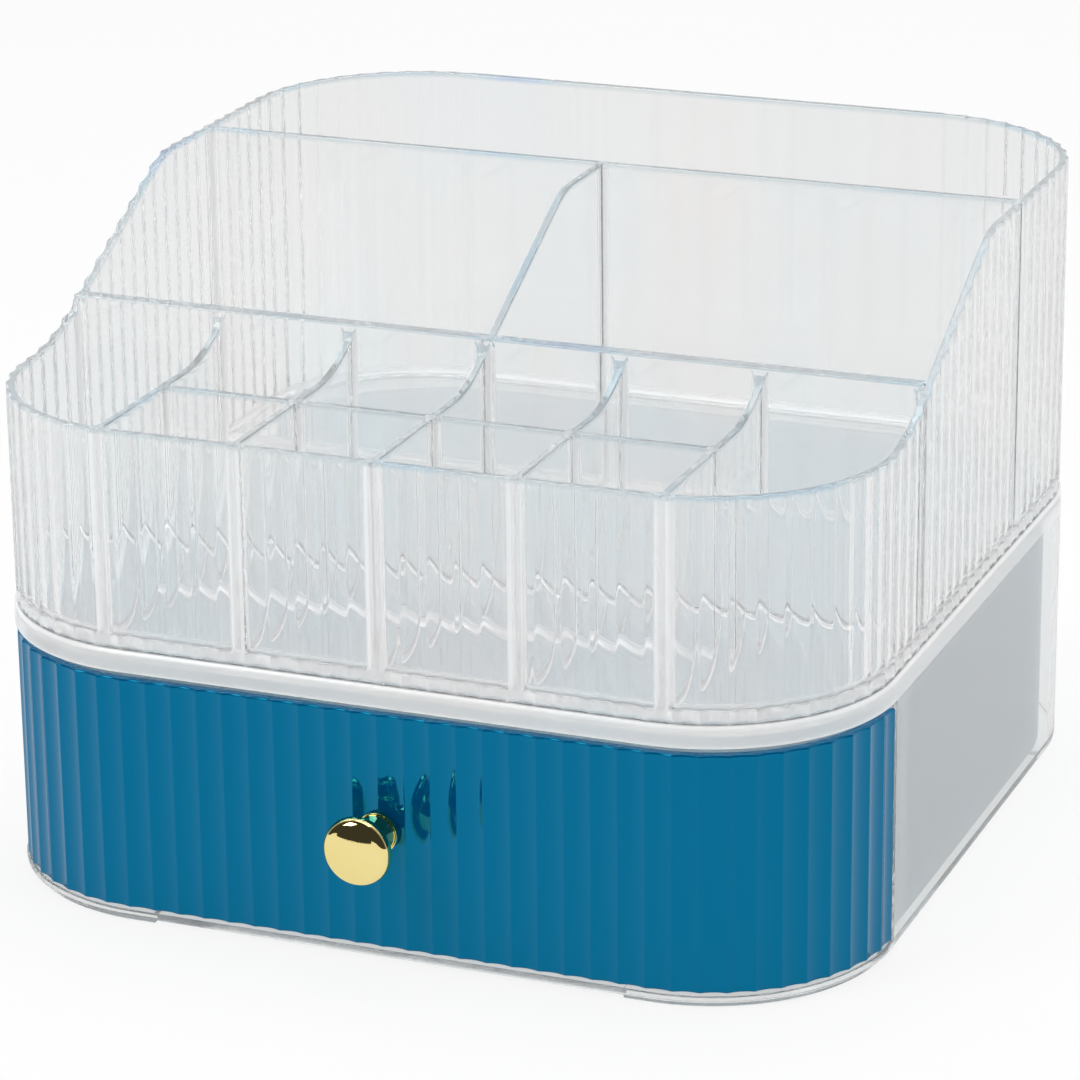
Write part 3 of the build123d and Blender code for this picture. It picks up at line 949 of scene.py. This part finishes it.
def make_cabinet():
    """The cabinet as one clear moulding, open in front, with low rims under its corners."""
    sizes = bpy.context.scene.organizer_cabinet
    material = clear_plastic("clear_cabinet", sizes.tint, sizes.clarity, wave=0.000004, lamp_share=0.75)
    stations, is_open = cabinet_loop()
    wall = SIDE_HIGH.x - SIDE_LOW.x
    tiny = 0.1 * MM
    lip_fade = 0.5 * MM
    # A lighter strip of painted light on the side walls next to the opening
    jamb_painted_light = []
    for place, _ in stations:
        near = SIDE_LOW.y - tiny < place.y < SIDE_LOW.y + sizes.jamb
        jamb_painted_light.append(sizes.jamb_painted_light if near else 0.0)
    skin = Skin()
    outer = skin.rounded(stations, rounding(sizes.base_round, -1, 1)[::-1], 0, BASE_LOW.z)
    base_edge = skin.ring(stations, 0, BASE_HIGH.z, None, jamb_painted_light)
    under_lip = skin.ring(stations, 0, PLATE_LOW.z - lip_fade, None, jamb_painted_light)
    # The top plate's side gets the lip's haze, which is partly painted light
    lip_edge = skin.ring(stations, 0, PLATE_LOW.z, None, sizes.lip_haze_and_light)
    upper = [lip_edge]
    edge = rounding(sizes.top_round, -1, -1)
    # The outer rings of the top plate's rounded edge get the lip's haze and a painted highlight; the inner
    # rings stay clear, which leaves a dark line under the tray
    for part, share in ((edge[:1], sizes.lip_haze_and_light), (edge[1:3], sizes.rim_painted_light), (edge[3:], 0.0)):
        upper += skin.rounded(stations, part, 0, PLATE_HIGH.z, None, share)
    inner_base, inner_lip, inner_top = (
        skin.ring(stations, -wall, z) for z in (BASE_HIGH.z, PLATE_LOW.z, SIDE_HIGH.z)
    )
    skin.band([*outer, base_edge])
    skin.band(upper)
    skin.band([inner_top, inner_lip])
    skin.lid(outer[0], up=False)
    skin.lid(upper[-1])
    skin.lid(inner_base)
    skin.lid(inner_top, up=False)
    count = len(stations)
    for i in range(count):
        k = (i + 1) % count
        if is_open[i] or is_open[k]:
            skin.strip(base_edge, inner_base, i, k)
            skin.strip(inner_lip, lip_edge, i, k)
        else:
            skin.strip(base_edge, under_lip, i, k)
            skin.strip(under_lip, lip_edge, i, k)
            skin.strip(inner_lip, inner_base, i, k)
        if is_open[i] != is_open[k]:
            end = k if is_open[i] else i
            jamb = [ring[end] for ring in (base_edge, under_lip, lip_edge, inner_lip, inner_base)]
            skin.lid(jamb, up=is_open[i])
    loose = [vertex for vertex in skin.bm.verts if not vertex.link_faces]
    bmesh.ops.delete(skin.bm, geom=loose, context="VERTS")
    cabinet = skin.object("cabinet")
    bevel = cabinet.modifiers.new("Edges", "BEVEL")
    bevel.width = sizes.edge
    bevel.segments = 3
    bevel.limit_method = "ANGLE"
    bevel.angle_limit = math.radians(60)
    settle(cabinet)
    for side_x, side_y in ((-1, -1), (1, -1), (1, 1), (-1, 1)):
        combine(cabinet, make_foot(side_x, side_y), "UNION")
    shade(cabinet)
    hand_over(cabinet, "cabinet", material, CABINET_NODES)


# Drawer


def knob_rod(name, radius, y0, y1):
    """A closed round bar along Y on the knob's axis, to cut holes with or to join."""
    bm = bmesh.new()
    middle = Matrix.Translation((KNOB_CENTRE.x, (y0 + y1) / 2, KNOB_CENTRE.z))
    place = middle @ Matrix.Rotation(math.pi / 2, 4, "X")
    bmesh.ops.create_cone(
        bm, cap_ends=True, segments=48, radius1=radius, radius2=radius, depth=y1 - y0, matrix=place
    )
    return add_object(name, bm)


def cut_screw_hole(thing):
    """Cuts the screw's clearance hole through a front wall of the drawer."""
    radius = bpy.context.scene.organizer_knob.shank / 2 + 0.1 * MM
    past_front = 1 * MM
    past_wall = 4 * MM
    hole = knob_rod("hole", radius, FRONT_Y - past_front, BOX_FRONT_LOW.y + past_wall)
    combine(thing, hole, "DIFFERENCE")


def make_drawer_box():
    """The drawer box as one frosted moulding, with its rear wall raised as a catch."""
    sizes = bpy.context.scene.organizer_drawer
    material = frosted_plastic("frosted_box", sizes.box_tint)
    wall = BOX_HIGH.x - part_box("drawer_right_side")[0].x
    front_radius = CORNER_RADIUS - (BOX_LOW.y - FRONT_Y)
    front_y = BOX_LOW.y + sizes.air
    radii = (front_radius, front_radius, sizes.box_corner, sizes.box_corner)
    arcs = rectangle_arcs(BOX_LOW.x, BOX_HIGH.x, front_y, BOX_HIGH.y, radii)
    stations = plan_loop(arcs, arc_step=1.6 * MM, run_step=2.0 * MM)
    low_top = BOX_FRONT_HIGH.z
    high_top = BOX_BACK_HIGH.z
    ramp = 2.0 * MM

    def top(place):
        share = min(1.0, max(0.0, (place.y - BOX_BACK_LOW.y) / ramp))
        return low_top + (high_top - low_top) * share * share * (3 - 2 * share)

    skin = Skin()
    rings = skin.rounded(stations, rounding(sizes.box_bottom, -1, 1)[::-1], 0, BOX_LOW.z)
    rings += skin.rounded(stations, rounding(sizes.box_edge, -1, -1), 0, top)
    rings += skin.rounded(stations, rounding(sizes.box_edge, 1, -1)[::-1], -wall, top)
    rings += skin.rounded(stations, rounding(sizes.box_fillet, -1, 1), -wall, BOX_HIGH.z)
    skin.band(rings)
    skin.lid(rings[0], up=False)
    skin.lid(rings[-1])
    box = skin.object("drawer_box")
    cut_screw_hole(box)
    shade(box)
    hand_over(box, "drawer", material, BOX_NODES)


def make_drawer_front():
    """The blue front: a fluted skin round both front corners, smooth inside, with a flat round
    seat for the knob."""
    sizes = bpy.context.scene.organizer_drawer
    flutes = bpy.context.scene.organizer_flutes
    material = blue_plastic("blue_front", sizes.blue)
    inset = HALF_WIDTH - BLUE_HIGH.x + flutes.drawer_depth
    stations, phases = fluted_loop(inset, flutes.pitch, flutes.steps, (0,))
    corner = round((CORNER_RADIUS - inset) * math.pi / 2 / flutes.pitch) * flutes.steps
    front = round(2 * (HALF_WIDTH - CORNER_RADIUS) / flutes.pitch) * flutes.steps
    count = 2 * corner + front + 1
    stations = stations[:count]
    phases = phases[:count]
    back = -(BOX_LOW.y - FRONT_Y - inset)
    edge = sizes.front_edge
    small = 0.3 * MM
    low, high = BLUE_LOW.z, BLUE_HIGH.z - sizes.top_gap
    skin = Skin()
    rings = skin.rounded(stations, rounding(edge, -1, 1)[::-1], 0, low, phases)
    rings += skin.rounded(stations, rounding(edge, -1, -1), 0, high, phases)
    rings += skin.rounded(stations, rounding(small, 1, -1, 2)[::-1], back, high)
    rings += skin.rounded(stations, rounding(small, 1, 1, 2), back, low)
    skin.band([*rings, rings[0]], closed=False)
    skin.lid([ring[0] for ring in rings])
    skin.lid([ring[-1] for ring in rings], up=False)
    front_skin = skin.object("drawer_front_skin", turn_out=True)
    add_flutes(front_skin, flutes.drawer_depth, flutes.drawer_ridge, material)
    seat_radius = bpy.context.scene.organizer_knob.base / 2 - 0.25 * MM
    seat_front = KNOB_HIGH.y + 0.02 * MM
    seat_back = BOX_LOW.y - 0.3 * MM
    combine(front_skin, knob_rod("seat", seat_radius, seat_front, seat_back), "UNION")
    cut_screw_hole(front_skin)
    shade(front_skin)
    hand_over(front_skin, "drawer", material, ["drawer_front"])


# Knob and screw


def turned(name, profile, seat_y, sides):
    """A closed turned piece. The profile gives (radius, reach) from the axis back to the axis."""
    skin = Skin()
    rings = []
    for radius, reach in profile:
        places = []
        for i in range(sides if radius else 1):
            angle = 2 * math.pi * i / sides
            x = KNOB_CENTRE.x + radius * math.cos(angle)
            places.append((x, seat_y - reach, KNOB_CENTRE.z + radius * math.sin(angle)))
        rings.append(skin.outline(places))
    for a, b in zip(rings, rings[1:]):
        for i in range(sides):
            k = (i + 1) % sides
            corners = [a[i % len(a)], b[i % len(b)], b[k % len(b)], a[k % len(a)]]
            skin.bm.faces.new(list(dict.fromkeys(corners)))
    return skin.object(name, turn_out=True)


def arc_profile(centre, radius, start, end, steps):
    """Profile points on an arc, in degrees from the outward direction."""
    points = []
    for i in range(steps + 1):
        angle = math.radians(start + (end - start) * i / steps)
        points.append((centre[0] + radius * math.cos(angle), centre[1] + radius * math.sin(angle)))
    return points


def make_knob():
    """The turned mushroom knob."""
    sizes = bpy.context.scene.organizer_knob
    material = polished_gold("gold_metal", sizes.gold)
    reach = KNOB_HIGH.y - KNOB_LOW.y
    head = (KNOB_HIGH.x - KNOB_LOW.x) / 2
    flat = head - sizes.rim
    neck = sizes.neck / 2
    base = sizes.base / 2
    rim_y = reach - sizes.dome
    back_y = reach - sizes.head
    bore_depth = KNOB_HIGH.y - SCREW_LOW.y
    play = 0.02 * MM
    bore_radius = sizes.shank / 2 + play
    small = 0.35 * MM
    thin = 0.1 * MM
    step_in = 0.4 * MM
    flare = 1.0 * MM
    profile = [(0, bore_depth), (bore_radius, bore_depth), (bore_radius, small), (bore_radius + small, 0)]
    profile += arc_profile((base - small, small), small, -90, 0, 3)
    profile += arc_profile((base - thin, sizes.base_thickness - thin), thin, 0, 90, 3)
    waist = back_y - sizes.base_thickness
    for i in range(13):
        share = i / 12
        radius = neck + (base - step_in - neck) * (1 - share) ** 4 + flare * share**5
        profile.append((radius, sizes.base_thickness + waist * share))
    rim_half = (rim_y - back_y) / 2
    rim_radius = (rim_half**2 + sizes.rim**2) / (2 * sizes.rim)
    spread = math.degrees(math.asin(rim_half / rim_radius))
    profile += arc_profile((head - rim_radius, (rim_y + back_y) / 2), rim_radius, -spread, spread, 14)
    dome_radius = (flat**2 + sizes.dome**2) / (2 * sizes.dome)
    for i in range(1, 12):
        radius = flat * (1 - i / 12)
        profile.append((radius, reach - dome_radius + math.sqrt(dome_radius**2 - radius**2)))
    profile.append((0, reach))
    knob = turned("knob_turning", profile, KNOB_HIGH.y, 96)
    shade(knob, 40)
    hand_over(knob, "drawer", material, ["knob"])


def make_screw():
    """The pan head screw inside the drawer, with a cross recess in its head."""
    sizes = bpy.context.scene.organizer_knob
    material = plated_steel("screw_steel", sizes.steel)
    reach = SCREW_HIGH.y - SCREW_LOW.y
    head_radius = (SCREW_HIGH.x - SCREW_LOW.x) / 2
    head_height = 2.6 * MM
    shank = sizes.shank / 2
    soft = 0.3 * MM
    tip_in, tip_length = 0.5 * MM, 0.8 * MM
    crown, crown_in, crown_start = 1.1 * MM, 1.3 * MM, 0.12 * MM
    slot_length, slot_depth, slot_width = 4.6 * MM, 1.5 * MM, 0.9 * MM
    profile = [(0, reach), (shank - tip_in, reach), (shank, reach - tip_length), (shank, head_height)]
    profile += arc_profile((head_radius - soft, head_height - soft), soft, 90, 0, 3)
    for i in range(1, 9):
        angle = math.pi / 2 * i / 8
        radius = head_radius - crown_in * (1 - math.cos(angle))
        profile.append((radius, crown * (1 - math.sin(angle)) + crown_start))
    profile.append((0, 0))
    screw = turned("screw_turning", profile, SCREW_HIGH.y, 64)
    place = Matrix.Translation((KNOB_CENTRE.x, SCREW_HIGH.y, KNOB_CENTRE.z))
    scale = Matrix.Diagonal((slot_length, 2 * slot_depth, slot_width, 1))
    for angle in (0, 90):
        bm = bmesh.new()
        turn = Matrix.Rotation(math.radians(angle), 4, "Y")
        bmesh.ops.create_cube(bm, size=1.0, matrix=place @ turn @ scale)
        combine(screw, add_object("recess", bm), "DIFFERENCE")
    shade(screw, 40)
    hand_over(screw, "drawer", material, ["knob_screw"])


# Stage


def white_stage(name, tone, backdrop, share):
    """Pale matt floor, near white to the camera and pale grey behind plastic and in gloss."""
    finish = Finish(name)
    speckle = finish.ramp(finish.noise(40, 3), [(0.0, (tone,) * 3), (1.0, (tone + 0.02,) * 3)])
    finish.set(Base_Color=speckle, Roughness=0.8, Specular_IOR_Level=0.1)
    path = finish.node("ShaderNodeLightPath").outputs
    seen = path["Is Camera Ray"]
    for ray in ("Is Glossy Ray", "Is Transmission Ray"):
        seen = finish.node("ShaderNodeMath", {0: seen, 1: path[ray]}, operation="MAXIMUM").outputs[0]
    part = finish.node("ShaderNodeMath", {0: seen, 1: share}, operation="MULTIPLY")
    level = finish.spread(path["Is Camera Ray"], backdrop, 1.0, 0.0, 1.0)
    glow = finish.node("ShaderNodeEmission", {"Strength": level})
    finish.mix_in(part.outputs[0], glow.outputs["Emission"])
    return finish.material


def add_lamp(name, place, size, power):
    """A soft area lamp that looks at the organizer's middle."""
    data = bpy.data.lights.new(name, "AREA")
    data.shape = "RECTANGLE"
    data.size, data.size_y = size
    data.energy = power
    lamp = bpy.data.objects.new(name, data)
    lamp.location = place
    aim = Vector((0, 0, 0.08))
    lamp.rotation_euler = (aim - Vector(place)).to_track_quat("-Z", "Y").to_euler()
    bpy.context.scene.collection.objects.link(lamp)
    return lamp


def make_world(sizes):
    """Even room: white to the camera, pale grey behind plastic. In gold and gloss the backdrop
    behind the object is bright and the room in front of it is dim."""
    world = bpy.data.worlds.new("Studio")
    bpy.context.scene.world = world
    world.use_nodes = True
    tree = world.node_tree
    path = add_node(tree, "ShaderNodeLightPath").outputs
    direction = add_node(tree, "ShaderNodeTexCoord").outputs["Generated"]
    rearward = add_node(tree, "ShaderNodeSeparateXYZ", {"Vector": direction}).outputs["Y"]
    inputs = {"Value": rearward, "From Min": -0.1, "From Max": 0.35, "To Min": sizes.room}
    seen = add_node(tree, "ShaderNodeMapRange", {**inputs, "To Max": sizes.backdrop})
    level = sizes.ambient
    for ray, strength in (
        ("Is Glossy Ray", seen.outputs["Result"]),
        ("Is Transmission Ray", sizes.backdrop),
        ("Is Camera Ray", 1.0),
    ):
        inputs = {"Factor": path[ray], "A": level, "B": strength}
        level = add_node(tree, "ShaderNodeMix", inputs).outputs["Result"]
    fill(tree, tree.nodes["Background"], {"Color": (0.985, 0.99, 1.0, 1.0), "Strength": level})


def make_camera(sizes):
    """The camera at the photo's angle."""
    data = bpy.data.cameras.new("Camera")
    data.lens = sizes.lens
    data.sensor_width = 36
    data.clip_start = 0.01
    data.clip_end = 50
    camera = bpy.data.objects.new("Camera", data)
    turn = Matrix.Rotation(sizes.azimuth, 4, "Z") @ Matrix.Rotation(math.pi / 2 - sizes.elevation, 4, "X")
    camera.matrix_world = Matrix.Translation(sizes.place) @ turn @ Matrix.Rotation(sizes.roll, 4, "Z")
    bpy.context.scene.collection.objects.link(camera)
    bpy.context.scene.camera = camera


def make_stage():
    """Floor, lamps, world and camera."""
    scene = bpy.context.scene
    sizes = scene.organizer_stage
    scene.view_settings.view_transform = "Standard"
    clear_bounces = 200
    scene.cycles.max_bounces = clear_bounces
    scene.cycles.transmission_bounces = clear_bounces
    scene.cycles.glossy_bounces = clear_bounces
    scene.cycles.transparent_max_bounces = 64
    scene.cycles.diffuse_bounces = 12
    bm = bmesh.new()
    place = Matrix.Translation((0, 0, -sizes.floor_gap))
    bmesh.ops.create_grid(bm, x_segments=2, y_segments=2, size=4, matrix=place)
    floor = add_object("floor", bm)
    floor.data.materials.append(white_stage("floor_white", 0.9, sizes.backdrop, share=0.84))
    make_world(sizes)
    add_lamp("Key", (-0.9, -1.1, 1.3), size=(0.7, 0.9), power=10)
    right = add_lamp("Right", (1.5, -0.2, 0.9), size=(0.5, 1.0), power=3.5)
    right.visible_glossy = False
    add_lamp("Top", (0.1, 0.3, 1.6), size=(1.2, 1.0), power=8)
    make_camera(sizes)


# Operators, panel and registration


class MakeTray(bpy.types.Operator):
    """Build the clear fluted tray with its compartments"""

    bl_idname = "organizer.make_tray"
    bl_label = "Tray"

    def execute(self, context):
        make_tray()
        return {"FINISHED"}


class MakeCabinet(bpy.types.Operator):
    """Build the clear cabinet with its feet"""

    bl_idname = "organizer.make_cabinet"
    bl_label = "Cabinet"

    def execute(self, context):
        make_cabinet()
        return {"FINISHED"}


class MakeDrawer(bpy.types.Operator):
    """Build the drawer's box and its blue fluted front"""

    bl_idname = "organizer.make_drawer"
    bl_label = "Drawer"

    def execute(self, context):
        make_drawer_box()
        make_drawer_front()
        return {"FINISHED"}


class MakeKnob(bpy.types.Operator):
    """Build the gold knob and its screw"""

    bl_idname = "organizer.make_knob"
    bl_label = "Knob"

    def execute(self, context):
        make_knob()
        make_screw()
        return {"FINISHED"}


class MakeStage(bpy.types.Operator):
    """Build the floor, the lamps and the camera"""

    bl_idname = "organizer.make_stage"
    bl_label = "Stage"

    def execute(self, context):
        make_stage()
        return {"FINISHED"}


class OrganizerPanel(bpy.types.Panel):
    """Lists the organizer's operators and sizes"""

    bl_idname = "VIEW3D_PT_organizer"
    bl_label = "Makeup organizer"
    bl_space_type = "VIEW_3D"
    bl_region_type = "UI"
    bl_category = "Organizer"

    def draw(self, context):
        layout = self.layout
        for operator, groups in PANEL_ROWS:
            box = layout.box()
            box.operator(operator.bl_idname)
            for group in groups:
                values = getattr(context.scene, group)
                for name in values.__annotations__:
                    box.prop(values, name)


PANEL_ROWS = (
    (MakeTray, ("organizer_flutes", "organizer_tray")),
    (MakeCabinet, ("organizer_cabinet",)),
    (MakeDrawer, ("organizer_drawer",)),
    (MakeKnob, ("organizer_knob",)),
    (MakeStage, ("organizer_stage",)),
)
GROUPS = {
    "organizer_flutes": FluteSizes,
    "organizer_tray": TraySizes,
    "organizer_cabinet": CabinetSizes,
    "organizer_drawer": DrawerSizes,
    "organizer_knob": KnobSizes,
    "organizer_stage": StageSizes,
}
CLASSES = (*GROUPS.values(), *(row[0] for row in PANEL_ROWS), OrganizerPanel)


def register():
    for item in CLASSES:
        bpy.utils.register_class(item)
    for name, group in GROUPS.items():
        setattr(bpy.types.Scene, name, bpy.props.PointerProperty(type=group))


def unregister():
    for name in GROUPS:
        delattr(bpy.types.Scene, name)
    for item in reversed(CLASSES):
        bpy.utils.unregister_class(item)


def main():
    """Builds everything."""
    register()
    bpy.ops.organizer.make_stage()
    bpy.ops.organizer.make_cabinet()
    bpy.ops.organizer.make_tray()
    bpy.ops.organizer.make_drawer()
    bpy.ops.organizer.make_knob()


if __name__ == "__main__":
    main()
